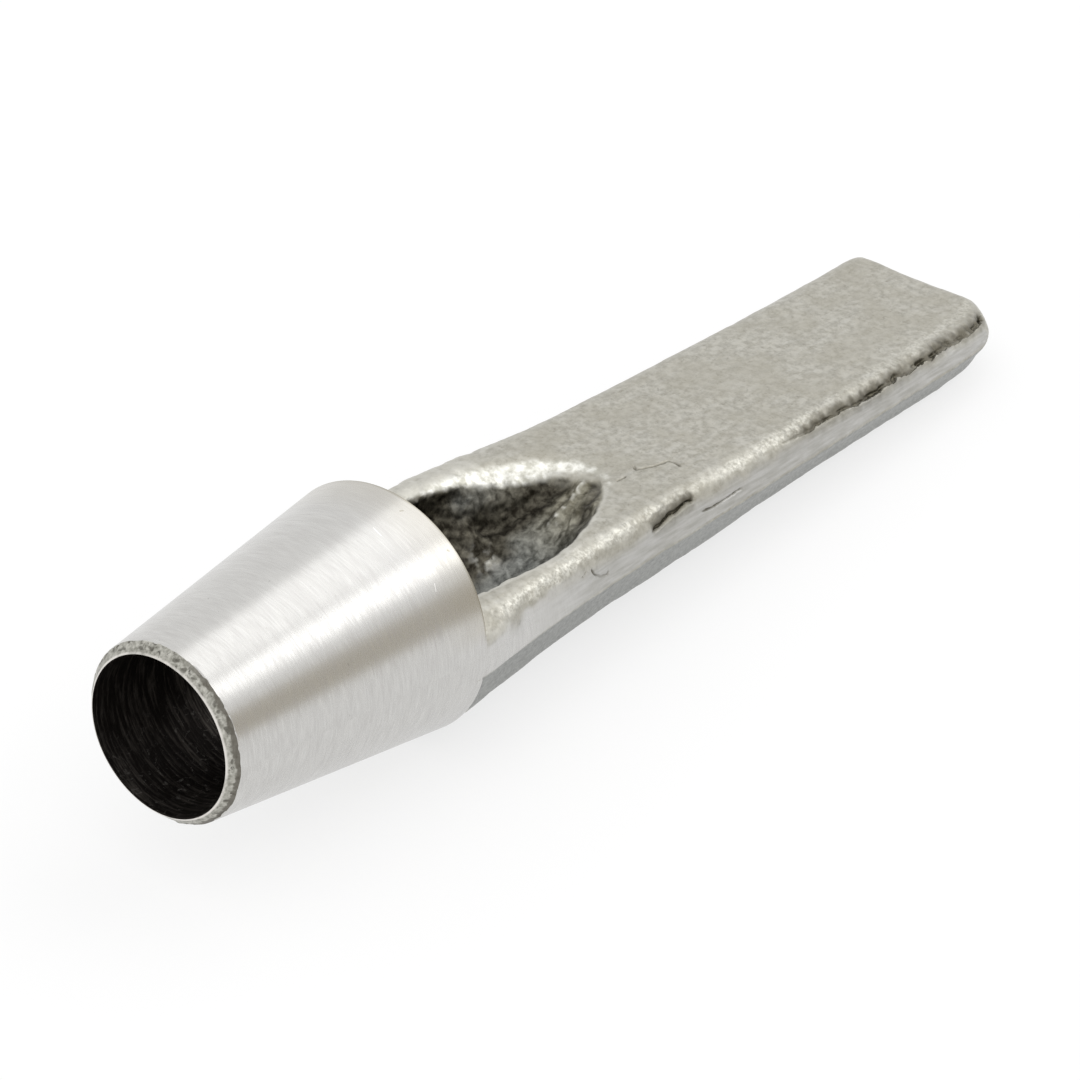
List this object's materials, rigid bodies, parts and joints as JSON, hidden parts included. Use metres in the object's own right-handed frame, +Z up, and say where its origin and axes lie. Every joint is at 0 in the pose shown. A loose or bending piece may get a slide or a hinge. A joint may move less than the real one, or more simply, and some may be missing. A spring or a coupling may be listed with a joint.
{
  "type": "hollow punch",
  "caption": "One-piece forged steel hollow punch: conical cutting head with a sharp round mouth, a slanting slug throat and a flat shank that is struck on its end.",
  "frame": {"origin": "on the bench under the centre of the tool's box, as it rests on the head's rear rim and the shank's heel with the throat upwards", "axes": "+X from the cutting mouth towards the struck end, +Z up, out of the throat; the head's axis slopes down towards the struck end by the resting angle of 4.8 degrees"},
  "size_m": [0.1552, 0.0318, 0.0317],
  "materials": {
    "forged_steel": "ground bright on the head, descaled forged skin on the shank"
  },
  "bodies": {
    "root": {"punch_body": "forged_steel"}
  },
  "joints": []
}
